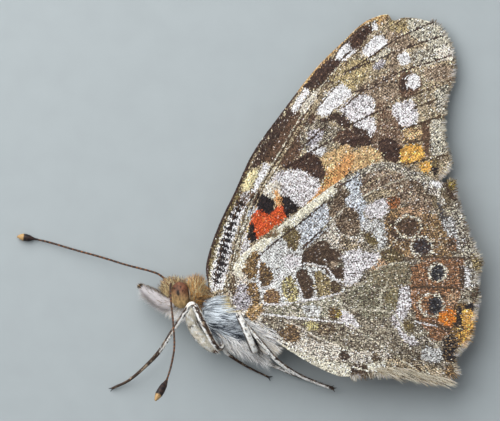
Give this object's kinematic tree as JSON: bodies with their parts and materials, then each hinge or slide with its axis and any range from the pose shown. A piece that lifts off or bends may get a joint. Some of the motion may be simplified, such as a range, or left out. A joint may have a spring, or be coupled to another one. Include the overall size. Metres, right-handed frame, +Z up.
{
  "type": "painted lady butterfly figure",
  "caption": "Life-size still model of a painted lady butterfly lying on its right side with closed wings, clubbed feelers and folded legs.",
  "frame": {"origin": "on the floor, at the middle of the small flat under the thorax", "axes": "+X from the head end towards the wings' outer margins, +Y from the body towards the wing tips, +Z up from the floor to the insect's left side"},
  "size_m": [0.0423, 0.0347, 0.0116],
  "materials": {
    "thorax_coat": "silky blue-grey hair",
    "head_coat": "golden brown hair",
    "pale_hair": "pale hair",
    "eye_surface": "glossy compound eye",
    "forewing_surface": "matt scales",
    "hindwing_surface": "matt scales",
    "leg_scales": "white scales over dark cuticle",
    "feeler_surface": "dark cuticle"
  },
  "bodies": {
    "root": {"thorax": "thorax_coat", "collar": "head_coat", "head": "head_coat", "eye_left": "eye_surface", "eye_right": "eye_surface", "palp_left": "pale_hair", "palp_right": "pale_hair", "antenna_left": "feeler_surface", "antenna_right": "feeler_surface", "abdomen": "pale_hair", "forewing_left": "forewing_surface", "forewing_right": "forewing_surface", "hindwing_left": "hindwing_surface", "hindwing_right": "hindwing_surface", "foreleg_left": "leg_scales", "foreleg_right": "leg_scales", "midleg_left": "leg_scales", "midleg_right": "leg_scales", "hindleg_left": "leg_scales", "hindleg_right": "leg_scales"}
  },
  "joints": []
}
